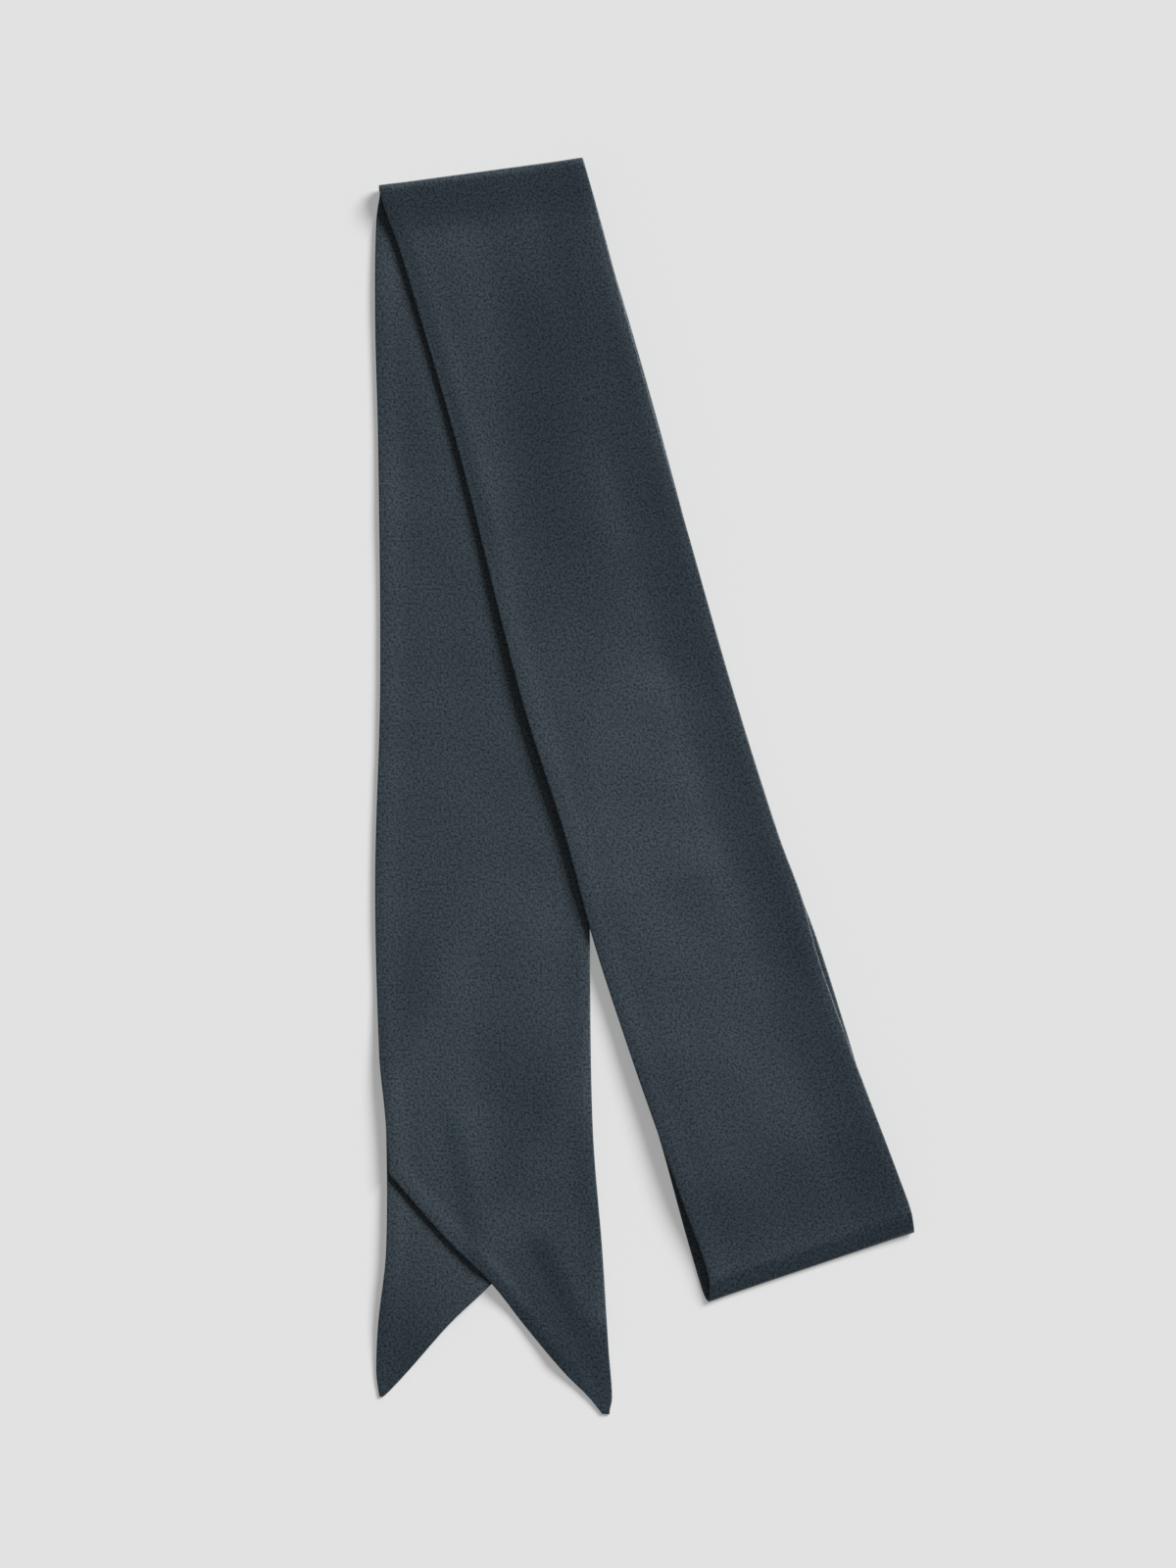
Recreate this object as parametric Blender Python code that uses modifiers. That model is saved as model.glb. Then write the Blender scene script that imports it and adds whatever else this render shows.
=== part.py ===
"""A skinny satin scarf: one long pressed tube of cloth with slanted ends, folded in half twice and laid flat.

Metres, +Z up. The origin is on the surface it lies on, under the middle of the folded scarf. The two arms
meet at the top fold: the left arm runs straight down (-Y), the right arm swings out from it.
Each stretch between two folds is one object. In its arm's own measure, a place is given by how far it is
along the arm from the top fold and how far across the arm's centre line, to the right when positive.
"""

import math
from collections import namedtuple

import bmesh
import bpy
from mathutils import Vector

# Driving dimensions
WALL = 0.0012  # both plies of the pressed tube, with their loft
LAYER_GAP = 0.0003  # between stretches that lie on each other
SEAM_GAP = 0.0003  # between stretches that are one cloth, where a fold joins them
TOP_FOLD = Vector((-0.0712, 0.2689))  # middle of the top fold, seen from above
RIGHT_ARM_SWING = math.radians(16.7)  # from the left arm's direction
TOP_FOLD_SLANT = math.radians(9.0)  # of the top fold's line, in the right arm's measure

# Heights of the middle of the wall, layer on layer
FLOOR_LEVEL = WALL / 2
LAYER_STEP = WALL + LAYER_GAP
INNER_FOLD_RADIUS = 0.0009
OUTER_FOLD_RADIUS = INNER_FOLD_RADIUS + LAYER_STEP
TOP_FOLD_LEVEL = FLOOR_LEVEL + OUTER_FOLD_RADIUS
UPPER_TAIL_RISE = LAYER_STEP
UNDER_RUN_RISE = LAYER_STEP + 2 * INNER_FOLD_RADIUS

# Where an upper stretch comes down past the one under it
ARM_STEP_START = 0.0490  # right of the left arm's centre line, just past its right edge
ARM_STEP_WIDTH = 0.0280
TAIL_STEP_START = 0.0040  # past the under tail's hem
TAIL_STEP_WIDTH = 0.0180
HEM_SLANT = math.radians(45.0)  # of both hems to the scarf's long edges

# The soft roll at the bottom of the right arm
ROLL_END = 0.5008  # its outermost line, along the right arm
ROLL_SLANT = math.radians(-2.0)
ROLL_REACH = 0.0100
ROLL_HEIGHT = 0.0072
ROLL_SWELL_LENGTH = 0.0600  # over which the top stretch lifts off the under one

# Mesh
ACROSS_STEPS = 16
STATION_SPACING = 0.011
FOLD_STEPS = 8
EDGE_REFINEMENTS = 4

CLOTH_COLOUR = (0.034, 0.047, 0.058, 1.0)
CLOTH_ROUGHNESS = 0.5
CLOTH_METALLIC = 0.0

Edge = namedtuple("Edge", "along across")
Crease = namedtuple("Crease", "start_along start_across end_along end_across width height")
Stretch = namedtuple("Stretch", "left right start finish height")

# Side edges of each stretch, one row where the edge bends
UNDER_TAIL_LEFT = (
    Edge(0.0060, -0.0444),
    Edge(0.0130, -0.0450),
    Edge(0.0640, -0.0456),
    Edge(0.1600, -0.0440),
    Edge(0.2250, -0.0437),
    Edge(0.3110, -0.0457),
    Edge(0.3870, -0.0440),
    Edge(0.4190, -0.0419),
    Edge(0.4730, -0.0419),
    Edge(0.5050, -0.0454),
    Edge(0.5263, -0.0462),
    Edge(0.5366, -0.0449),
)
UNDER_TAIL_RIGHT = (
    Edge(-0.0060, 0.0445),
    Edge(0.1000, 0.0455),
    Edge(0.3440, 0.0462),
    Edge(0.4400, 0.0470),
)
UPPER_TAIL_LEFT = (
    Edge(0.0060, -0.0440),
    Edge(0.0210, -0.0462),
    Edge(0.0640, -0.0467),
    Edge(0.1180, -0.0454),
    Edge(0.2250, -0.0445),
    Edge(0.3110, -0.0467),
    Edge(0.3866, -0.0449),
    Edge(0.4120, -0.0424),
    Edge(0.4390, -0.0404),
)
UPPER_TAIL_RIGHT = (
    Edge(-0.0060, 0.0440),
    Edge(0.1000, 0.0465),
    Edge(0.3440, 0.0476),
    Edge(0.4190, 0.0488),
    Edge(0.4730, 0.0530),
    Edge(0.5156, 0.0557),
    Edge(0.5371, 0.0573),
    Edge(0.5430, 0.0562),
)
UNDER_RUN_LEFT = (
    Edge(-0.0040, -0.0428),
    Edge(0.0245, -0.0420),
    Edge(0.1140, -0.0430),
    Edge(0.2300, -0.0478),
    Edge(0.3380, -0.0480),
    Edge(0.4000, -0.0474),
    Edge(0.4300, -0.0468),
    Edge(0.4710, -0.0474),
    Edge(0.4977, -0.0475),
)
UNDER_RUN_RIGHT = (
    Edge(0.0070, 0.0428),
    Edge(0.0352, 0.0434),
    Edge(0.0690, 0.0438),
    Edge(0.1130, 0.0434),
    Edge(0.1580, 0.0422),
    Edge(0.2200, 0.0400),
    Edge(0.3150, 0.0406),
    Edge(0.3600, 0.0442),
    Edge(0.4060, 0.0451),
    Edge(0.4400, 0.0452),
    Edge(0.4977, 0.0480),
)
TOP_RUN_LEFT = (
    Edge(-0.0070, -0.0444),
    Edge(0.0017, -0.0451),
    Edge(0.0245, -0.0441),
    Edge(0.1140, -0.0448),
    Edge(0.2260, -0.0496),
    Edge(0.2900, -0.0486),
    Edge(0.3380, -0.0498),
    Edge(0.3890, -0.0486),
    Edge(0.4230, -0.0471),
    Edge(0.4594, -0.0451),
    Edge(0.4875, -0.0436),
    Edge(0.5026, -0.0449),
)
TOP_RUN_RIGHT = (
    Edge(0.0070, 0.0444),
    Edge(0.0352, 0.0439),
    Edge(0.0690, 0.0426),
    Edge(0.1130, 0.0415),
    Edge(0.1690, 0.0412),
    Edge(0.2500, 0.0404),
    Edge(0.3150, 0.0413),
    Edge(0.3450, 0.0432),
    Edge(0.3720, 0.0426),
    Edge(0.4060, 0.0441),
    Edge(0.4284, 0.0455),
    Edge(0.4743, 0.0488),
    Edge(0.4925, 0.0495),
    Edge(0.5000, 0.0470),
)

# Slanted hems: a row where each line bends
UNDER_TAIL_HEM = (
    Edge(0.5366, -0.0449),
    Edge(0.5369, -0.0432),
    Edge(0.5263, -0.0329),
    Edge(0.5048, -0.0140),
    Edge(0.4872, 0.0045),
    Edge(0.4425, 0.0470),
)
UPPER_TAIL_HEM = (
    Edge(0.4390, -0.0404),
    Edge(0.4528, -0.0286),
    Edge(0.4691, -0.0140),
    Edge(0.4872, 0.0045),
    Edge(0.5048, 0.0183),
    Edge(0.5263, 0.0363),
    Edge(0.5371, 0.0471),
    Edge(0.5445, 0.0530),
)

# Soft creases, each a straight ridge, with its ends run out
UPPER_TAIL_CREASES = (
    Crease(0.446, -0.034, 0.482, 0.001, 0.010, 0.0016),  # hem standing off the under tail
    Crease(0.420, 0.010, 0.478, 0.014, 0.012, 0.0012),  # ridge from the arm into the tip
    Crease(0.470, 0.047, 0.510, 0.049, 0.009, 0.0012),  # swell beside the tip's right edge
)
TOP_RUN_CREASES = (
    Crease(0.060, -0.044, 0.300, -0.048, 0.012, 0.0012),  # left edge standing off the left arm
    Crease(0.080, 0.030, 0.420, 0.036, 0.009, 0.0005),  # swell along the right edge
)


def smooth_step(amount):
    amount = min(max(amount, 0.0), 1.0)
    return amount * amount * (3.0 - 2.0 * amount)


def smooth_curve(rows, position, key, value):
    """Value at a position on the smooth curve through the rows, level with each row's neighbours."""
    places = [getattr(row, key) for row in rows]
    values = [getattr(row, value) for row in rows]
    if places[0] > places[-1]:
        places.reverse()
        values.reverse()
    position = min(max(position, places[0]), places[-1])
    last = len(places) - 1
    index = next(i for i in range(last) if position <= places[i + 1])
    span = places[index + 1] - places[index]
    slopes = []
    for i in (index, index + 1):
        before = max(i - 1, 0)
        after = min(i + 1, last)
        slopes.append((values[after] - values[before]) / (places[after] - places[before]) * span)
    t = (position - places[index]) / span
    start_weight = 2 * t**3 - 3 * t**2 + 1
    end_weight = 1 - start_weight
    start_pull = t**3 - 2 * t**2 + t
    end_pull = t**3 - t**2
    return (
        start_weight * values[index]
        + end_weight * values[index + 1]
        + start_pull * slopes[0]
        + end_pull * slopes[1]
    )


def arm_axes(swing):
    """Directions along an arm and across it, seen from above."""
    along = Vector((math.sin(swing), -math.cos(swing)))
    across = Vector((math.cos(swing), math.sin(swing)))
    return along, across


LEFT_ARM = arm_axes(0.0)
RIGHT_ARM = arm_axes(RIGHT_ARM_SWING)


def plan_point(arm, along, across):
    return TOP_FOLD + arm[0] * along + arm[1] * across


def crease_height(creases, along, across):
    """Sum of the ridges at a place: a soft hump across each line, fading towards its two ends."""
    total = 0.0
    for crease in creases:
        start = Vector((crease.start_along, crease.start_across))
        run = Vector((crease.end_along, crease.end_across)) - start
        offset = Vector((along, across)) - start
        travelled = offset.dot(run) / run.length_squared
        sideways = (offset - run * min(max(travelled, 0.0), 1.0)).length / crease.width
        hump = 1.0 - smooth_step(sideways)
        fade = smooth_step(2.5 * (1.0 - abs(2.0 * travelled - 1.0)) + 0.2)
        total += crease.height * hump * fade
    return total


# Lines that cross an arm: each gives how far along the arm the line lies at a place across it
def top_fold_line(across):
    """Centre of the top fold, set in from its outermost line, in the right arm's measure."""
    return across * math.tan(TOP_FOLD_SLANT) + OUTER_FOLD_RADIUS


def left_arm_start(across):
    """The same line in the left arm's measure, a seam's gap further in."""
    slant = RIGHT_ARM_SWING - TOP_FOLD_SLANT
    return -across * math.tan(slant) + OUTER_FOLD_RADIUS + SEAM_GAP


def roll_line(across):
    """Crest of the roll, set in from its outermost line."""
    return across * math.tan(ROLL_SLANT) + ROLL_END - ROLL_REACH


def under_run_end(across):
    return roll_line(across) - SEAM_GAP


def under_tail_hem(across):
    return smooth_curve(UNDER_TAIL_HEM, across, "across", "along")


def upper_tail_hem(across):
    return smooth_curve(UPPER_TAIL_HEM, across, "across", "along")


# Height of each stretch's middle surface at a place on its arm
def under_tail_height(along, across):
    return FLOOR_LEVEL


def upper_tail_height(along, across):
    """It lies on the under tail, then comes down to the surface past that one's hem."""
    past_hem = (along - under_tail_hem(across)) * math.cos(HEM_SLANT)
    level = UPPER_TAIL_RISE * (1.0 - smooth_step((past_hem - TAIL_STEP_START) / TAIL_STEP_WIDTH))
    return FLOOR_LEVEL + level + crease_height(UPPER_TAIL_CREASES, along, across)


def under_run_height(along, across):
    """It lies on the left arm, then comes down to the surface past that arm's right edge."""
    beside = plan_point(RIGHT_ARM, along, across).x - TOP_FOLD.x
    return FLOOR_LEVEL + UNDER_RUN_RISE * (1.0 - smooth_step((beside - ARM_STEP_START) / ARM_STEP_WIDTH))


def top_run_height(along, across):
    """It lies on the under run, then lifts off it to the crest of the roll."""
    base = under_run_height(along, across) + LAYER_STEP
    swell = smooth_step(1.0 - (roll_line(across) - along) / ROLL_SWELL_LENGTH)
    crest = FLOOR_LEVEL + ROLL_HEIGHT
    level = base + (crest - base) * swell
    return level + crease_height(TOP_RUN_CREASES, along, across) * (1.0 - swell)


def crossing_places(stretch, line):
    """Places (along, across) where a line crosses the stretch, from its left edge to its right one."""
    ends = []
    for edge in (stretch.left, stretch.right):
        across = edge[0].across
        for _ in range(EDGE_REFINEMENTS):
            across = smooth_curve(edge, line(across), "along", "across")
        ends.append(across)
    left, right = ends
    spread = [left + (right - left) * step / ACROSS_STEPS for step in range(ACROSS_STEPS + 1)]
    return [(line(across), across) for across in spread]


def laid_rows(stretch, arm):
    """Rows of points over the stretch's middle surface where it lies on what is under it."""
    steps = round((stretch.finish(0.0) - stretch.start(0.0)) / STATION_SPACING)
    rows = []
    for step in range(steps + 1):

        def line(across, share=step / steps):
            return stretch.start(across) + (stretch.finish(across) - stretch.start(across)) * share

        row = []
        for along, across in crossing_places(stretch, line):
            place = plan_point(arm, along, across)
            row.append(Vector((place.x, place.y, stretch.height(along, across))))
        rows.append(row)
    return rows


def fold_rows(stretch, arm, centre_line, reach, rise, level):
    """Rows of points round a half turn, from its upper side to its lower one.

    A fold at the start of an arm has a negative reach.
    """
    rows = []
    for step in range(1, FOLD_STEPS + 1):
        angle = math.pi * (0.5 - step / FOLD_STEPS)

        def line(across, shift=reach * math.cos(angle)):
            return centre_line(across) + shift

        row = []
        for along, across in crossing_places(stretch, line):
            place = plan_point(arm, along, across)
            row.append(Vector((place.x, place.y, level + rise * math.sin(angle))))
        rows.append(row)
    return rows


def cloth_material(name):
    material = bpy.data.materials.new(name)
    material.use_nodes = True
    shader = material.node_tree.nodes["Principled BSDF"]
    shader.inputs["Base Color"].default_value = CLOTH_COLOUR
    shader.inputs["Roughness"].default_value = CLOTH_ROUGHNESS
    shader.inputs["Metallic"].default_value = CLOTH_METALLIC
    return material


def cloth_object(name, grid, collection):
    """A wall of cloth whose middle surface passes through the grid's points."""
    shape = bmesh.new()
    vertices = [[shape.verts.new(point) for point in row] for row in grid]
    for lower, upper in zip(vertices, vertices[1:]):
        for left in range(len(lower) - 1):
            shape.faces.new((lower[left], upper[left], upper[left + 1], lower[left + 1]))
    mesh = bpy.data.meshes.new(name)
    shape.to_mesh(mesh)
    shape.free()
    mesh.shade_smooth()
    cloth = bpy.data.objects.new(name, mesh)
    cloth.data.materials.append(cloth_material(name + "_satin"))
    collection.objects.link(cloth)
    wall = cloth.modifiers.new("wall", "SOLIDIFY")
    wall.thickness = WALL
    wall.offset = 0.0
    wall.use_even_offset = True
    return cloth


def clear_scene():
    for old in list(bpy.data.objects):
        bpy.data.objects.remove(old)


def build_scarf():
    clear_scene()
    collection = bpy.data.collections.new("skinny_scarf")
    bpy.context.scene.collection.children.link(collection)

    under_tail = Stretch(
        UNDER_TAIL_LEFT, UNDER_TAIL_RIGHT, left_arm_start, under_tail_hem, under_tail_height
    )
    upper_tail = Stretch(
        UPPER_TAIL_LEFT, UPPER_TAIL_RIGHT, left_arm_start, upper_tail_hem, upper_tail_height
    )
    under_run = Stretch(
        UNDER_RUN_LEFT, UNDER_RUN_RIGHT, top_fold_line, under_run_end, under_run_height
    )
    top_run = Stretch(TOP_RUN_LEFT, TOP_RUN_RIGHT, top_fold_line, roll_line, top_run_height)

    cloth_object("under_tail", laid_rows(under_tail, LEFT_ARM), collection)
    cloth_object("upper_tail", laid_rows(upper_tail, LEFT_ARM), collection)

    radius = INNER_FOLD_RADIUS
    inner_fold = fold_rows(under_run, RIGHT_ARM, top_fold_line, -radius, radius, TOP_FOLD_LEVEL)
    cloth_object("under_run", inner_fold[::-1] + laid_rows(under_run, RIGHT_ARM), collection)

    radius = OUTER_FOLD_RADIUS
    outer_fold = fold_rows(top_run, RIGHT_ARM, top_fold_line, -radius, radius, TOP_FOLD_LEVEL)
    rise = ROLL_HEIGHT / 2
    roll = fold_rows(top_run, RIGHT_ARM, roll_line, ROLL_REACH, rise, FLOOR_LEVEL + rise)
    cloth_object("top_run", outer_fold[::-1] + laid_rows(top_run, RIGHT_ARM) + roll, collection)


build_scarf()
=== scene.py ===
"""The looks of a skinny satin scarf: one long pressed tube of cloth, folded in half twice and laid flat.

The scarf is one sheet of two plies. It runs from its left-hand tip up the left arm, over the top fold, down
the right arm, round the soft roll, back up the right arm, over the inner fold and down the left arm to its
right-hand tip. Metres, +Z up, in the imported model's frame.
A place on a stretch of cloth is given by how far it is along its arm from the top fold, and how far across
the arm's centre line, to the right when positive.
"""

import math
from collections import namedtuple

import bpy
import numpy as np
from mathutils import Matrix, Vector, noise


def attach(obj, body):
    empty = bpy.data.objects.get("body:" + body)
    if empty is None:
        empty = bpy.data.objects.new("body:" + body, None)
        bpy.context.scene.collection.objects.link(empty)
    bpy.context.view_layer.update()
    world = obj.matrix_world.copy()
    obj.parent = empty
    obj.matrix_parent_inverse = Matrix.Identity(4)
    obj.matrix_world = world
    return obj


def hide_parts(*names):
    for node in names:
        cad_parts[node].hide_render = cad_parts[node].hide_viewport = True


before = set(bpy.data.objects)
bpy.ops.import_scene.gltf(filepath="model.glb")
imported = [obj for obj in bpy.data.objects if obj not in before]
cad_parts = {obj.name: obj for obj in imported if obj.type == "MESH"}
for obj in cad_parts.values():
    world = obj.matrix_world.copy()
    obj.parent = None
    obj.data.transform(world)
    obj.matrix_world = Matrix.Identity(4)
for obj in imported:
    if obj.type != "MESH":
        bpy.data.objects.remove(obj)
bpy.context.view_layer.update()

# The cut: a strip folded lengthwise into a tube, with slanted ends
CLOTH_ROUND = 0.180
CLOTH_THICKNESS = 0.00025
HEM_SLANT = math.radians(45.0)

# Where the folded scarf lies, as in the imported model
TOP_FOLD = np.array((-0.0712, 0.2689))
RIGHT_ARM_SWING = math.radians(16.7)
TOP_FOLD_SLANT = math.radians(9.0)
OUTER_FOLD_RADIUS = 0.0024
OUTER_FOLD_REACH = 0.0020
OUTER_FOLD_END = -0.0006  # its outermost line, along the right arm
INNER_FOLD_RADIUS = 0.0009
SEAM_GAP = 0.0003
ROLL_END = 0.5008  # its outermost line, along the right arm
ROLL_SLANT = math.radians(-2.0)
ROLL_REACH = 0.0074
ROLL_HEIGHT = 0.0044
ROLL_SLUMP = 0.5  # 1 is an even half round, and less falls sooner
ROLL_SWELL_LENGTH = 0.2000

# Where an upper stretch comes down past the one under it
TAIL_STEP_START = 0.0040  # past the under tail's hem
TAIL_STEP_WIDTH = 0.0180
ARM_STEP_START = 0.0470  # right of the left arm's centre line
ARM_STEP_WIDTH = 0.1400
ARM_OVERHANG = 0.0450  # further right, near the top fold
ARM_OVERHANG_START = 0.1000  # along the right arm, where that begins to fade
ARM_OVERHANG_LENGTH = 0.1600
ARM_SETTLE_START = 0.3200  # along the right arm, from where the step moves back to the left
ARM_SETTLE_RATE = 1.2

# Heights of the undersides, each on the layer below
LAYER_STEP = 0.0015
UPPER_TAIL_RISE = LAYER_STEP
UNDER_RUN_RISE = LAYER_STEP + 2 * INNER_FOLD_RADIUS

# Thickness of the pressed tube: more beside its edges, which hold the seam allowance
MIDDLE_THICKNESS = 0.0008
RIM_THICKNESS = 0.0011
RIM_WIDTH = 0.0030
RIM_FADE = 0.0080
EDGE_ROUNDING = 0.0002

# Mesh: how far in from an edge its closer rows and columns lie, and how many others there are
EDGE_INSETS = (0.0, 0.0001, 0.0004, 0.0011, 0.0021, 0.0033, 0.0048)
MIDDLE_COLUMNS = 26
EDGE_REFINEMENTS = 6
OUTER_FOLD_STEPS = 12
INNER_FOLD_STEPS = 8
ROLL_STEPS = 22
MERGE_DISTANCE = 0.00001

Edge = namedtuple("Edge", "along across")
Crease = namedtuple(
    "Crease", "start_along start_across end_along end_across left_width right_width height taper"
)
Lift = namedtuple("Lift", "side start full easing finish width height")
Band = namedtuple("Band", "finish spacing")
Arm = namedtuple("Arm", "along across")
Stretch = namedtuple("Stretch", "arm left right start finish bottom creases lifts bands hemmed")
Rows = namedtuple("Rows", "points inset thickness cloth")

# Side edges of each stretch, one row where the edge bends
UNDER_TAIL_LEFT = (
    Edge(0.0060, -0.0444),
    Edge(0.0130, -0.0450),
    Edge(0.0640, -0.0456),
    Edge(0.1600, -0.0440),
    Edge(0.2250, -0.0437),
    Edge(0.3110, -0.0457),
    Edge(0.3870, -0.0440),
    Edge(0.4190, -0.0419),
    Edge(0.4730, -0.0419),
    Edge(0.5050, -0.0454),
    Edge(0.5263, -0.0462),
    Edge(0.5366, -0.0449),
)
UNDER_TAIL_RIGHT = (
    Edge(-0.0060, 0.0445),
    Edge(0.1000, 0.0455),
    Edge(0.3440, 0.0462),
    Edge(0.4400, 0.0470),
)
UPPER_TAIL_LEFT = (
    Edge(0.0060, -0.0440),
    Edge(0.0210, -0.0462),
    Edge(0.0640, -0.0467),
    Edge(0.1180, -0.0454),
    Edge(0.2250, -0.0445),
    Edge(0.3110, -0.0467),
    Edge(0.3866, -0.0449),
    Edge(0.4120, -0.0424),
    Edge(0.4390, -0.0404),
)
UPPER_TAIL_RIGHT = (
    Edge(-0.0060, 0.0440),
    Edge(0.1000, 0.0465),
    Edge(0.3440, 0.0476),
    Edge(0.4190, 0.0488),
    Edge(0.4730, 0.0530),
    Edge(0.5156, 0.0557),
    Edge(0.5371, 0.0573),
    Edge(0.5430, 0.0562),
)
UNDER_RUN_LEFT = (
    Edge(-0.0040, -0.0428),
    Edge(0.0245, -0.0420),
    Edge(0.1140, -0.0430),
    Edge(0.2300, -0.0478),
    Edge(0.3380, -0.0480),
    Edge(0.4000, -0.0474),
    Edge(0.4300, -0.0470),
    Edge(0.4710, -0.0480),
    Edge(0.4977, -0.0482),
)
UNDER_RUN_RIGHT = (
    Edge(0.0070, 0.0428),
    Edge(0.0352, 0.0430),
    Edge(0.0690, 0.0433),
    Edge(0.1130, 0.0429),
    Edge(0.1580, 0.0418),
    Edge(0.2200, 0.0400),
    Edge(0.3150, 0.0406),
    Edge(0.3600, 0.0442),
    Edge(0.4060, 0.0451),
    Edge(0.4400, 0.0452),
    Edge(0.4977, 0.0480),
)
TOP_RUN_LEFT = (
    Edge(-0.0070, -0.0444),
    Edge(0.0017, -0.0451),
    Edge(0.0245, -0.0441),
    Edge(0.1140, -0.0448),
    Edge(0.2260, -0.0496),
    Edge(0.2900, -0.0486),
    Edge(0.3380, -0.0498),
    Edge(0.3890, -0.0486),
    Edge(0.4230, -0.0471),
    Edge(0.4594, -0.0451),
    Edge(0.4875, -0.0436),
    Edge(0.5026, -0.0449),
)
TOP_RUN_RIGHT = (
    Edge(0.0070, 0.0444),
    Edge(0.0352, 0.0439),
    Edge(0.0690, 0.0430),
    Edge(0.1130, 0.0422),
    Edge(0.1690, 0.0414),
    Edge(0.2500, 0.0404),
    Edge(0.3150, 0.0413),
    Edge(0.3450, 0.0432),
    Edge(0.3720, 0.0426),
    Edge(0.4060, 0.0441),
    Edge(0.4284, 0.0455),
    Edge(0.4743, 0.0488),
    Edge(0.4925, 0.0495),
    Edge(0.5000, 0.0470),
)

# Slanted hems: a row where each line bends
UNDER_TAIL_HEM = (
    Edge(0.5366, -0.0449),
    Edge(0.5369, -0.0432),
    Edge(0.5263, -0.0329),
    Edge(0.5048, -0.0140),
    Edge(0.4872, 0.0045),
    Edge(0.4425, 0.0470),
)
UPPER_TAIL_HEM = (
    Edge(0.4390, -0.0404),
    Edge(0.4528, -0.0286),
    Edge(0.4691, -0.0140),
    Edge(0.4872, 0.0045),
    Edge(0.5048, 0.0183),
    Edge(0.5263, 0.0363),
    Edge(0.5371, 0.0471),
    Edge(0.5445, 0.0530),
)

# Soft ridges, or troughs where the height is below zero. Each has its own width on either side, and fades
# over a share of its length at both ends.
UNDER_TAIL_CREASES = (
    Crease(0.3980, -0.0700, 0.5200, 0.0475, 0.0850, 0.0500, 0.0015, 0.20),
    Crease(0.4430, -0.0900, 0.5480, 0.0278, 0.0420, 0.0750, 0.0026, 0.25),
)
UPPER_TAIL_CREASES = (
    Crease(0.0200, -0.0420, 0.2400, 0.0220, 0.0300, 0.0500, 0.0006, 0.30),
    Crease(0.4400, -0.0900, 0.4950, 0.0180, 0.0420, 0.2000, 0.0040, 0.25),
    Crease(0.4050, -0.0105, 0.4830, 0.0050, 0.0110, 0.0340, 0.0006, 0.20),
    Crease(0.4680, -0.0035, 0.5280, 0.0450, 0.0140, 0.0500, 0.0022, 0.20),
    Crease(0.4640, 0.0150, 0.5180, 0.0425, 0.0500, 0.0120, -0.0011, 0.20),
)
UNDER_RUN_CREASES = (
    Crease(0.0000, 0.0420, 0.2350, -0.0030, 0.0460, 0.2200, 0.0024, 0.40),
)
TOP_RUN_CREASES = (
    Crease(-0.0220, -0.0900, 0.0080, 0.0900, 0.0320, 0.0200, 0.0046, 0.05),
    Crease(0.0000, 0.0420, 0.2350, -0.0030, 0.0460, 0.2200, 0.0039, 0.40),
    Crease(-0.0400, -0.0450, 0.3500, -0.0400, 0.1500, 0.1500, 0.0011, 0.25),
    Crease(0.4480, -0.1000, 0.4380, 0.1200, 0.0500, 0.1800, 0.0042, 0.35),
)

# Cloth rising towards a side edge: along the arm the rise starts, is full, begins to ease and finishes
UNDER_TAIL_LIFTS = ()
UPPER_TAIL_LIFTS = (
    Lift("right", 0.3000, 0.4250, 0.5000, 0.5500, 0.0550, 0.0041),
)
UNDER_RUN_LIFTS = (
    Lift("left", 0.1500, 0.2300, 0.3100, 0.3700, 0.0700, 0.0005),
    Lift("right", -0.0400, 0.0100, 0.4500, 0.5000, 0.0280, 0.0008),
)
TOP_RUN_LIFTS = (
    Lift("left", 0.1500, 0.2300, 0.3100, 0.3700, 0.0700, 0.0005),
    Lift("left", -0.0200, 0.0300, 0.0800, 0.1300, 0.0320, -0.0004),
    Lift("left", -0.0200, 0.0300, 0.1400, 0.1900, 0.0080, -0.0006),
    Lift("right", -0.0100, 0.0400, 0.1000, 0.1500, 0.0600, 0.0014),
    Lift("right", -0.0200, 0.0300, 0.4900, 0.5400, 0.0280, 0.0018),
    Lift("right", 0.3200, 0.3600, 0.3600, 0.3900, 0.0160, 0.0006),
)
UNEVEN_HEIGHT = 0.0003
UNEVEN_SCALE = 38.0

# Rows along each stretch: closer where its folds and creases show
UNDER_TAIL_BANDS = (Band(0.400, 0.0070), Band(0.488, 0.0026))
UPPER_TAIL_BANDS = (Band(0.380, 0.0034), Band(0.488, 0.0024))
UNDER_RUN_BANDS = (Band(0.450, 0.0070), Band(0.500, 0.0035))
TOP_RUN_BANDS = (Band(0.020, 0.0016), Band(0.430, 0.0030), Band(0.500, 0.0022))

# Camera and light
PIXEL = 0.00043  # on the surface, for one pixel of a frame 1200 wide and 1600 high
FRAME_HEIGHT = 1600 * PIXEL
FRAME_MIDDLE = (-0.0245, 0.0009)
CAMERA_HEIGHT = 6.0
CAMERA_REACH = 20.0
SENSOR = 36.0
KEY_AZIMUTH = math.radians(42.0)  # from +X towards +Y
KEY_ELEVATION = math.radians(38.0)
KEY_SPREAD = math.radians(28.0)
KEY_STRENGTH = 3.45
FILL_STRENGTH = 0.12
WHITE = (1.0, 1.0, 1.0, 1.0)


def smooth_step(amount):
    amount = np.clip(amount, 0.0, 1.0)
    return amount * amount * (3.0 - 2.0 * amount)


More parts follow.
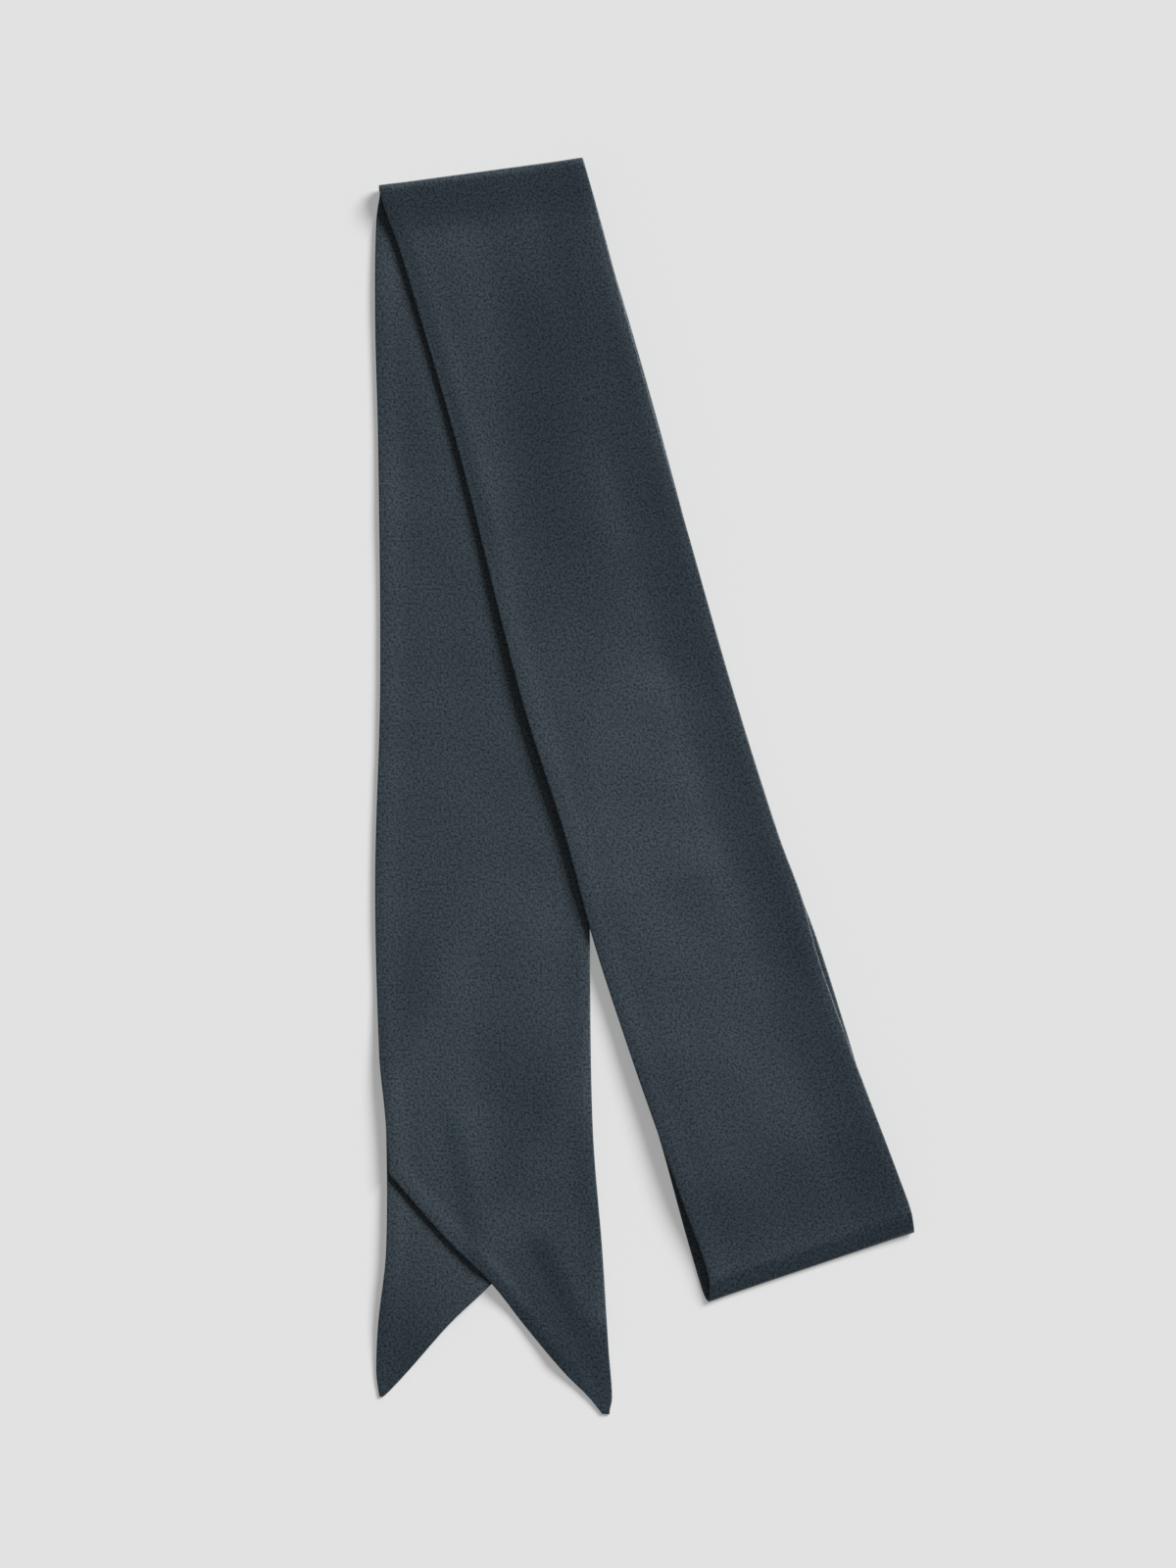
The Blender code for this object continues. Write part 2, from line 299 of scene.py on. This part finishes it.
def smooth_curve(rows, key, value, position):
    """Values at the positions on the smooth curve through the rows, level with each row's neighbours."""
    places = np.array([getattr(row, key) for row in rows])
    values = np.array([getattr(row, value) for row in rows])
    if places[0] > places[-1]:
        places = places[::-1]
        values = values[::-1]
    last = len(places) - 1
    after = np.minimum(np.arange(last + 1) + 1, last)
    before = np.maximum(np.arange(last + 1) - 1, 0)
    slopes = (values[after] - values[before]) / (places[after] - places[before])
    position = np.clip(position, places[0], places[-1])
    index = np.clip(np.searchsorted(places, position) - 1, 0, last - 1)
    span = places[index + 1] - places[index]
    t = (position - places[index]) / span
    end_weight = t * t * (3 - 2 * t)
    start_pull = t * (1 - t) ** 2 * span
    end_pull = t * t * (t - 1) * span
    return (
        values[index] * (1 - end_weight)
        + values[index + 1] * end_weight
        + slopes[index] * start_pull
        + slopes[index + 1] * end_pull
    )


def arm_axes(swing):
    along = np.array((math.sin(swing), -math.cos(swing)))
    across = np.array((math.cos(swing), math.sin(swing)))
    return Arm(along, across)


LEFT_ARM = arm_axes(0.0)
RIGHT_ARM = arm_axes(RIGHT_ARM_SWING)


def plan_place(arm, along, across):
    return TOP_FOLD + along[..., None] * arm.along + across[..., None] * arm.across


def relief(creases, along, across):
    """Height of the ridges and troughs together at each place, each fading towards its two ends."""
    total = np.zeros_like(along)
    for crease in creases:
        run_along = crease.end_along - crease.start_along
        run_across = crease.end_across - crease.start_across
        length = math.hypot(run_along, run_across)
        from_along = along - crease.start_along
        from_across = across - crease.start_across
        ahead = (from_along * run_along + from_across * run_across) / length**2
        aside = (from_across * run_along - from_along * run_across) / length
        beyond = np.maximum(np.abs(ahead - 0.5) - 0.5, 0.0) * length
        width = np.where(aside < 0, crease.left_width, crease.right_width)
        hump = 1.0 - smooth_step(np.hypot(aside, beyond) / width)
        fade = smooth_step((0.5 - np.abs(ahead - 0.5)) / crease.taper)
        total += crease.height * hump * fade
    return total


def edge_rise(lifts, along, insets):
    """How far the cloth rises towards its side edges at each place."""
    total = np.zeros_like(along)
    for lift in lifts:
        rise = 1.0 - smooth_step(insets[lift.side] / lift.width)
        begun = smooth_step((along - lift.start) / (lift.full - lift.start))
        left_over = smooth_step((lift.finish - along) / (lift.finish - lift.easing))
        total += lift.height * rise * begun * left_over
    return total


def unevenness(plan):
    """A slight rise and fall of the loose cloth, alike at one place in every layer that has it."""
    flat = (plan.reshape(-1, 2) * UNEVEN_SCALE).tolist()
    values = [noise.noise(Vector((x, y, 0.0))) for x, y in flat]
    return UNEVEN_HEIGHT * np.array(values).reshape(plan.shape[:2])


# Lines that cross an arm: how far along the arm each lies at a place across it
def top_fold_line(across):
    return across * math.tan(TOP_FOLD_SLANT) + OUTER_FOLD_END + OUTER_FOLD_REACH


def left_arm_start(across):
    slant = RIGHT_ARM_SWING - TOP_FOLD_SLANT
    return -across * math.tan(slant) + OUTER_FOLD_RADIUS + SEAM_GAP


def roll_line(across):
    return across * math.tan(ROLL_SLANT) + ROLL_END - ROLL_REACH


def under_tail_hem(across):
    return smooth_curve(UNDER_TAIL_HEM, "across", "along", across)


def upper_tail_hem(across):
    return smooth_curve(UPPER_TAIL_HEM, "across", "along", across)


# Height of each stretch's underside
def under_tail_bottom(along, across):
    return np.zeros_like(along)


def upper_tail_bottom(along, across):
    """It lies on the under tail, then comes down to the surface past that one's hem."""
    past_hem = (along - under_tail_hem(across)) * math.cos(HEM_SLANT)
    return UPPER_TAIL_RISE * (1.0 - smooth_step((past_hem - TAIL_STEP_START) / TAIL_STEP_WIDTH))


def under_run_bottom(along, across):
    """It lies on the left arm, then comes down past that arm's right edge, later near the top fold."""
    beside = plan_place(RIGHT_ARM, along, across)[..., 0] - TOP_FOLD[0]
    held_up = ARM_OVERHANG * (1.0 - smooth_step((along - ARM_OVERHANG_START) / ARM_OVERHANG_LENGTH))
    settled = ARM_SETTLE_RATE * np.maximum(along - ARM_SETTLE_START, 0.0)
    past_edge = beside - ARM_STEP_START - held_up + settled
    fallen = np.clip(past_edge / ARM_STEP_WIDTH, 0.0, 1.0)
    return UNDER_RUN_RISE * (1.0 - fallen) ** 2 * (1.0 + fallen)


def top_run_bottom(along, across):
    """It lies on the under run, then lifts off it to the crest of the roll."""
    base = under_run_bottom(along, across) + LAYER_STEP
    swell = smooth_step(1.0 - (roll_line(across) - along) / ROLL_SWELL_LENGTH)
    return base + (ROLL_HEIGHT - base) * swell


UNDER_TAIL = Stretch(
    LEFT_ARM, UNDER_TAIL_LEFT, UNDER_TAIL_RIGHT, left_arm_start, under_tail_hem,
    under_tail_bottom, UNDER_TAIL_CREASES, UNDER_TAIL_LIFTS, UNDER_TAIL_BANDS, True,
)
UPPER_TAIL = Stretch(
    LEFT_ARM, UPPER_TAIL_LEFT, UPPER_TAIL_RIGHT, left_arm_start, upper_tail_hem,
    upper_tail_bottom, UPPER_TAIL_CREASES, UPPER_TAIL_LIFTS, UPPER_TAIL_BANDS, True,
)
UNDER_RUN = Stretch(
    RIGHT_ARM, UNDER_RUN_LEFT, UNDER_RUN_RIGHT, top_fold_line, roll_line,
    under_run_bottom, UNDER_RUN_CREASES, UNDER_RUN_LIFTS, UNDER_RUN_BANDS, False,
)
TOP_RUN = Stretch(
    RIGHT_ARM, TOP_RUN_LEFT, TOP_RUN_RIGHT, top_fold_line, roll_line,
    top_run_bottom, TOP_RUN_CREASES, TOP_RUN_LIFTS, TOP_RUN_BANDS, False,
)


def row_shares(stretch):
    """Where a stretch's rows lie, as shares of its length: evenly within each band, closer at a hem."""
    middle = np.zeros(1)
    length = float(stretch.finish(middle)[0] - stretch.start(middle)[0])
    insets = np.array(EDGE_INSETS[::-1]) / math.cos(HEM_SLANT) if stretch.hemmed else np.zeros(1)
    laid = length - insets[0]
    places = [np.zeros(1)]
    begun = 0.0
    for band in stretch.bands:
        reached = laid if band is stretch.bands[-1] else band.finish
        steps = round((reached - begun) / band.spacing)
        places.append(np.linspace(begun, reached, steps + 1)[1:])
        begun = reached
    places.append(length - insets[1:])
    return np.concatenate(places) / length


def crossing_line(stretch, shares, across):
    start = stretch.start(across)
    return start + (stretch.finish(across) - start) * shares


def row_end(stretch, edge, shares):
    """How far across each row meets a side edge."""
    across = np.full(len(shares), edge[0].across)
    for _ in range(EDGE_REFINEMENTS):
        across = smooth_curve(edge, "along", "across", crossing_line(stretch, shares, across))
    return across


def column_shares(width):
    """Where the columns lie in each row, as shares of its width: closer at its two ends."""
    near = np.array(EDGE_INSETS) / width[:, None]
    first = near[:, -1:]
    middle = first + (1.0 - 2.0 * first) * np.linspace(0.0, 1.0, MIDDLE_COLUMNS + 1)[None, 1:-1]
    return np.concatenate((near, middle, 1.0 - near[:, ::-1]), axis=1)


def cloth_thickness(inset):
    """Full over the seam allowance, then thinning to the two plies alone."""
    thinned = smooth_step((inset - RIM_WIDTH) / RIM_FADE)
    return RIM_THICKNESS - (RIM_THICKNESS - MIDDLE_THICKNESS) * thinned


def laid_rows(stretch, cloth_start, cloth_way):
    """Rows of the sheet over a stretch, from the top fold on, none of them below the surface."""
    shares = row_shares(stretch)
    left = row_end(stretch, stretch.left, shares)
    right = row_end(stretch, stretch.right, shares)
    across = left[:, None] + (right - left)[:, None] * column_shares(right - left)
    along = crossing_line(stretch, shares[:, None], across)
    insets = {"left": across - left[:, None], "right": right[:, None] - across}
    inset = np.minimum(insets["left"], insets["right"])
    if stretch.hemmed:
        inset = np.minimum(inset, (stretch.finish(across) - along) * math.cos(HEM_SLANT))
    thickness = cloth_thickness(inset)
    height = stretch.bottom(along, across) + thickness / 2
    height += relief(stretch.creases, along, across) + edge_rise(stretch.lifts, along, insets)
    plan = plan_place(stretch.arm, along, across)
    if stretch is not UNDER_TAIL:
        height += unevenness(plan)
    height = np.maximum(height, thickness / 2)
    points = np.concatenate((plan, height[..., None]), axis=2)
    cloth = np.stack((across + CLOTH_ROUND / 4, cloth_start + cloth_way * along), axis=2)
    return Rows(points, inset, thickness, cloth)


def fold_rows(upper, lower, outward, reach, steps, slump=1.0):
    """Rows round a half turn, from the row above it to the row below it, both left out.

    It goes down as an even half round where the slump is 1, and sooner where it is less.
    """
    turn = np.linspace(0.0, math.pi, steps + 1)[1:-1, None, None]
    share = ((1.0 - np.cos(turn)) / 2) ** slump
    points = upper.points + (lower.points - upper.points) * share
    points[..., :2] += outward * reach * np.sin(turn)
    even = turn[..., 0] / math.pi
    inset = upper.inset + (lower.inset - upper.inset) * even
    thickness = upper.thickness + (lower.thickness - upper.thickness) * even
    cloth = upper.cloth + (lower.cloth - upper.cloth) * even[..., None]
    return Rows(points, inset, thickness, cloth)


def one_row(rows, index):
    return Rows(*(values[index : index + 1] for values in rows))


def turned_round(rows):
    return Rows(*(values[::-1] for values in rows))


def scarf_rows():
    """All rows of the sheet, from the left-hand tip to the right-hand one."""
    outer_turn = math.pi * OUTER_FOLD_RADIUS
    inner_turn = math.pi * INNER_FOLD_RADIUS
    roll_turn = math.pi * math.hypot(ROLL_REACH, ROLL_HEIGHT / 2) / math.sqrt(2)
    run_length = float(ROLL_END - ROLL_REACH)
    under_run_start = 2 * run_length + roll_turn
    upper_tail_start = under_run_start + inner_turn - 4 * INNER_FOLD_RADIUS

    under_tail = laid_rows(UNDER_TAIL, 2 * OUTER_FOLD_RADIUS - outer_turn, -1)
    top_run = laid_rows(TOP_RUN, 0.0, 1)
    under_run = laid_rows(UNDER_RUN, under_run_start, -1)
    upper_tail = laid_rows(UPPER_TAIL, upper_tail_start, 1)

    up_arm = -RIGHT_ARM.along
    outer_fold = fold_rows(
        one_row(top_run, 0), one_row(under_tail, 0), up_arm, OUTER_FOLD_REACH, OUTER_FOLD_STEPS
    )
    inner_fold = fold_rows(
        one_row(under_run, 0), one_row(upper_tail, 0), up_arm, INNER_FOLD_RADIUS, INNER_FOLD_STEPS
    )
    roll = fold_rows(
        one_row(top_run, len(top_run.inset) - 1),
        one_row(under_run, len(under_run.inset) - 1),
        RIGHT_ARM.along,
        ROLL_REACH,
        ROLL_STEPS,
        ROLL_SLUMP,
    )
    in_order = (
        turned_round(under_tail),
        turned_round(outer_fold),
        top_run,
        roll,
        turned_round(under_run),
        inner_fold,
        upper_tail,
    )
    return Rows(*(np.concatenate(values) for values in zip(*in_order)))


def sheet_mesh(name, rows):
    """The middle surface of the pressed tube, with what the tube tree reads from it."""
    high, wide = rows.inset.shape
    index = np.arange(high * wide).reshape(high, wide)
    corners = np.stack((index[:-1, :-1], index[1:, :-1], index[1:, 1:], index[:-1, 1:]), axis=2)
    mesh = bpy.data.meshes.new(name)
    mesh.from_pydata(rows.points.reshape(-1, 3).tolist(), [], corners.reshape(-1, 4).tolist())
    for label, values in (("inset", rows.inset), ("thickness", rows.thickness)):
        attribute = mesh.attributes.new(label, "FLOAT", "POINT")
        attribute.data.foreach_set("value", values.astype(np.float32).ravel())
    layer = mesh.uv_layers.new(name="cloth")
    places = rows.cloth.reshape(-1, 2)[corners.reshape(-1)]
    layer.uv.foreach_set("vector", places.astype(np.float32).ravel())
    return mesh


def add_node(tree, kind, **settings):
    node = tree.nodes.new(kind)
    for name, value in settings.items():
        setattr(node, name, value)
    return node


def math_node(tree, operation, first, second=None):
    """The output of a Math node that takes a socket or a number in each place."""
    node = add_node(tree, "ShaderNodeMath", operation=operation)
    for socket, value in zip(node.inputs, (first, second)):
        if isinstance(value, (int, float)):
            socket.default_value = value
        elif value is not None:
            tree.links.new(value, socket)
    return node.outputs[0]


def tube_tree():
    """Makes the pressed tube from its middle surface: a ply each side, joined round the border."""
    tree = bpy.data.node_groups.new("pressed_tube", "GeometryNodeTree")
    face = tree.interface
    face.new_socket("Sheet", in_out="INPUT", socket_type="NodeSocketGeometry")
    face.new_socket("Edge rounding", in_out="INPUT", socket_type="NodeSocketFloat")
    face.new_socket("Cloth all round", in_out="INPUT", socket_type="NodeSocketFloat")
    face.new_socket("Cloth", in_out="INPUT", socket_type="NodeSocketMaterial")
    face.new_socket("Tube", in_out="OUTPUT", socket_type="NodeSocketGeometry")
    given = add_node(tree, "NodeGroupInput").outputs
    link = tree.links.new

    inset = add_node(tree, "GeometryNodeInputNamedAttribute", data_type="FLOAT")
    inset.inputs["Name"].default_value = "inset"
    thickness = add_node(tree, "GeometryNodeInputNamedAttribute", data_type="FLOAT")
    thickness.inputs["Name"].default_value = "thickness"
    into_edge = math_node(tree, "DIVIDE", inset.outputs[0], given["Edge rounding"])
    short = math_node(tree, "SUBTRACT", 1.0, math_node(tree, "MINIMUM", into_edge, 1.0))
    squared = math_node(tree, "POWER", short, 2.0)
    rounding = math_node(tree, "SQRT", math_node(tree, "SUBTRACT", 1.0, squared))
    half_rounding = math_node(tree, "MULTIPLY", rounding, 0.5)
    half = math_node(tree, "MULTIPLY", thickness.outputs[0], half_rounding)
    normal = add_node(tree, "GeometryNodeInputNormal").outputs[0]

    plies = []
    for side in (1.0, -1.0):
        out = add_node(tree, "ShaderNodeVectorMath", operation="SCALE")
        link(normal, out.inputs[0])
        link(math_node(tree, "MULTIPLY", half, side), out.inputs["Scale"])
        ply = add_node(tree, "GeometryNodeSetPosition")
        link(given["Sheet"], ply.inputs["Geometry"])
        link(out.outputs[0], ply.inputs["Offset"])
        plies.append(ply.outputs[0])

    flipped = add_node(tree, "GeometryNodeFlipFaces")
    link(plies[1], flipped.inputs["Mesh"])
    old_place = add_node(tree, "GeometryNodeInputNamedAttribute", data_type="FLOAT_VECTOR")
    old_place.inputs["Name"].default_value = "cloth"
    parts = add_node(tree, "ShaderNodeSeparateXYZ")
    link(old_place.outputs[0], parts.inputs[0])
    place = add_node(tree, "ShaderNodeCombineXYZ")
    link(math_node(tree, "SUBTRACT", given["Cloth all round"], parts.outputs["X"]), place.inputs["X"])
    link(parts.outputs["Y"], place.inputs["Y"])
    unrolled = add_node(tree, "GeometryNodeStoreNamedAttribute", data_type="FLOAT2", domain="CORNER")
    unrolled.inputs["Name"].default_value = "cloth"
    link(flipped.outputs[0], unrolled.inputs["Geometry"])
    link(place.outputs[0], unrolled.inputs["Value"])

    joined = add_node(tree, "GeometryNodeJoinGeometry")
    link(unrolled.outputs[0], joined.inputs[0])
    link(plies[0], joined.inputs[0])
    merged = add_node(tree, "GeometryNodeMergeByDistance")
    merged.inputs["Distance"].default_value = MERGE_DISTANCE
    link(joined.outputs[0], merged.inputs["Geometry"])
    link(math_node(tree, "LESS_THAN", inset.outputs[0], MERGE_DISTANCE), merged.inputs["Selection"])
    smooth = add_node(tree, "GeometryNodeSetShadeSmooth")
    link(merged.outputs[0], smooth.inputs["Geometry"])
    real = add_node(tree, "GeometryNodeRealizeInstances")
    link(smooth.outputs[0], real.inputs[0])
    dressed = add_node(tree, "GeometryNodeSetMaterial")
    link(real.outputs[0], dressed.inputs["Geometry"])
    link(given["Cloth"], dressed.inputs["Material"])
    link(dressed.outputs[0], add_node(tree, "NodeGroupOutput").inputs["Tube"])
    return tree


def pressed_tube(name, rows, material):
    """The scarf as one closed two-ply tube, each ply a real thickness of cloth."""
    sheet = bpy.data.objects.new("sheet", sheet_mesh("sheet", rows))
    bpy.context.scene.collection.objects.link(sheet)
    tube = sheet.modifiers.new("tube", "NODES")
    tube.node_group = tube_tree()
    values = {
        "Edge rounding": EDGE_ROUNDING,
        "Cloth all round": CLOTH_ROUND,
        "Cloth": material,
    }
    for item in tube.node_group.interface.items_tree:
        if item.in_out == "INPUT" and item.name in values:
            tube[item.identifier] = values[item.name]
    wall = sheet.modifiers.new("ply", "SOLIDIFY")
    wall.thickness = CLOTH_THICKNESS
    wall.offset = -1.0  # inwards from the ply's outer face
    bpy.context.view_layer.update()
    graph = bpy.context.evaluated_depsgraph_get()
    mesh = bpy.data.meshes.new_from_object(sheet.evaluated_get(graph))
    mesh.name = name
    bpy.data.objects.remove(sheet)
    scarf = bpy.data.objects.new(name, mesh)
    bpy.context.scene.collection.objects.link(scarf)
    return scarf


SATIN_COLOUR = (0.0105, 0.0218, 0.0350)
SATIN_IOR = 1.70
SATIN_TINT = (0.83, 0.95, 0.98, 1.0)
GRAIN_SCALE = 950.0
GRAIN_DETAIL = 2.0
GRAIN_SHARE = 0.75  # of the surface; the threads make the rest
THREAD_STRETCH = (2600.0, 420.0, 1.0)
THREAD_DETAIL = 1.0
MOTTLE_SCALE = 22.0
MOTTLE_DETAIL = 2.0

# The noise values that count as lowest and highest, and what each finish makes of them
NOISE_SPAN = (0.30, 0.70)
TONE_SPAN = (0.38, 0.62)
SHEEN_SPAN = (0.36, 0.60)
SURFACE_TONE = (0.40, 1.60)
MOTTLE_TONE = (0.96, 1.04)
SURFACE_ROUGHNESS = (0.50, 0.42)
SURFACE_SHEEN = (0.35, 1.00)
BUMP_STRENGTH = 0.35
BUMP_DISTANCE = 0.0003


def noise_node(tree, place, scale, detail):
    node = add_node(tree, "ShaderNodeTexNoise", noise_dimensions="3D")
    node.inputs["Scale"].default_value = scale
    node.inputs["Detail"].default_value = detail
    tree.links.new(place, node.inputs["Vector"])
    return node.outputs["Fac"]


def range_node(tree, value, onto, span=NOISE_SPAN):
    """The value with the span stretched onto another range, and kept inside it."""
    node = add_node(tree, "ShaderNodeMapRange")
    node.inputs["From Min"].default_value = span[0]
    node.inputs["From Max"].default_value = span[1]
    node.inputs["To Min"].default_value = onto[0]
    node.inputs["To Max"].default_value = onto[1]
    tree.links.new(value, node.inputs["Value"])
    return node.outputs[0]


def satin():
    """Slate satin: a fine broken grain along the threads, a soft sheen and a faint mottle."""
    material = bpy.data.materials.new("slate_satin")
    material.use_nodes = True
    tree = material.node_tree
    link = tree.links.new
    shader = tree.nodes["Principled BSDF"]
    cloth = add_node(tree, "ShaderNodeUVMap", uv_map="cloth").outputs[0]
    grain = noise_node(tree, cloth, GRAIN_SCALE, GRAIN_DETAIL)
    stretch = add_node(tree, "ShaderNodeMapping")
    stretch.inputs["Scale"].default_value = THREAD_STRETCH
    link(cloth, stretch.inputs["Vector"])
    threads = noise_node(tree, stretch.outputs[0], 1.0, THREAD_DETAIL)
    mottle = noise_node(tree, cloth, MOTTLE_SCALE, MOTTLE_DETAIL)
    from_grain = math_node(tree, "MULTIPLY", grain, GRAIN_SHARE)
    from_threads = math_node(tree, "MULTIPLY", threads, 1.0 - GRAIN_SHARE)
    surface = math_node(tree, "ADD", from_grain, from_threads)
    surface_tone = range_node(tree, surface, SURFACE_TONE, TONE_SPAN)
    tone = math_node(tree, "MULTIPLY", surface_tone, range_node(tree, mottle, MOTTLE_TONE))

    colour = add_node(tree, "ShaderNodeVectorMath", operation="SCALE")
    colour.inputs[0].default_value = SATIN_COLOUR
    link(tone, colour.inputs["Scale"])
    link(colour.outputs[0], shader.inputs["Base Color"])
    link(range_node(tree, surface, SURFACE_ROUGHNESS), shader.inputs["Roughness"])
    sheen = range_node(tree, surface, SURFACE_SHEEN, SHEEN_SPAN)
    link(sheen, shader.inputs["Specular IOR Level"])
    shader.inputs["IOR"].default_value = SATIN_IOR
    shader.inputs["Specular Tint"].default_value = SATIN_TINT
    bump = add_node(tree, "ShaderNodeBump")
    bump.inputs["Strength"].default_value = BUMP_STRENGTH
    bump.inputs["Distance"].default_value = BUMP_DISTANCE
    link(surface, bump.inputs["Height"])
    link(bump.outputs[0], shader.inputs["Normal"])
    return material


FLOOR_SIZE = 120.0
FLOOR_DROP = 0.0002  # below the scarf's underside
FLOOR_COLOUR = (0.575, 0.575, 0.575, 1.0)
FLOOR_ROUGHNESS = 0.9
FLOOR_SPECULAR = 0.1
FLOOR_GLOW = 0.30


def floor_material():
    material = bpy.data.materials.new("pale_floor")
    material.use_nodes = True
    shader = material.node_tree.nodes["Principled BSDF"]
    shader.inputs["Base Color"].default_value = FLOOR_COLOUR
    shader.inputs["Roughness"].default_value = FLOOR_ROUGHNESS
    shader.inputs["Specular IOR Level"].default_value = FLOOR_SPECULAR
    shader.inputs["Emission Color"].default_value = WHITE
    shader.inputs["Emission Strength"].default_value = FLOOR_GLOW
    return material


def make_floor():
    bpy.ops.mesh.primitive_plane_add(size=FLOOR_SIZE, location=(0.0, 0.0, -FLOOR_DROP))
    floor = bpy.context.object
    floor.name = "floor"
    floor.data.materials.append(floor_material())


def make_camera():
    data = bpy.data.cameras.new("overhead")
    data.sensor_fit = "AUTO"
    data.sensor_width = SENSOR
    data.lens = SENSOR * CAMERA_HEIGHT / FRAME_HEIGHT
    data.clip_end = CAMERA_REACH
    camera = bpy.data.objects.new("overhead", data)
    camera.location = (FRAME_MIDDLE[0], FRAME_MIDDLE[1], CAMERA_HEIGHT)
    bpy.context.scene.collection.objects.link(camera)
    bpy.context.scene.camera = camera


def make_light():
    data = bpy.data.lights.new("key", "SUN")
    data.angle = KEY_SPREAD
    data.energy = KEY_STRENGTH
    key = bpy.data.objects.new("key", data)
    level = math.cos(KEY_ELEVATION)
    towards = Vector(
        (level * math.cos(KEY_AZIMUTH), level * math.sin(KEY_AZIMUTH), math.sin(KEY_ELEVATION))
    )
    key.location = towards
    key.rotation_euler = towards.to_track_quat("Z", "Y").to_euler()
    bpy.context.scene.collection.objects.link(key)

    world = bpy.data.worlds.new("soft_fill")
    world.use_nodes = True
    sky = world.node_tree.nodes["Background"]
    sky.inputs["Color"].default_value = WHITE
    sky.inputs["Strength"].default_value = FILL_STRENGTH
    bpy.context.scene.world = world


scarf = pressed_tube("scarf", scarf_rows(), satin())
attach(scarf, "root")
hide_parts("under_tail", "upper_tail", "under_run", "top_run")
make_floor()
make_camera()
make_light()
bpy.context.scene.view_settings.view_transform = "Standard"
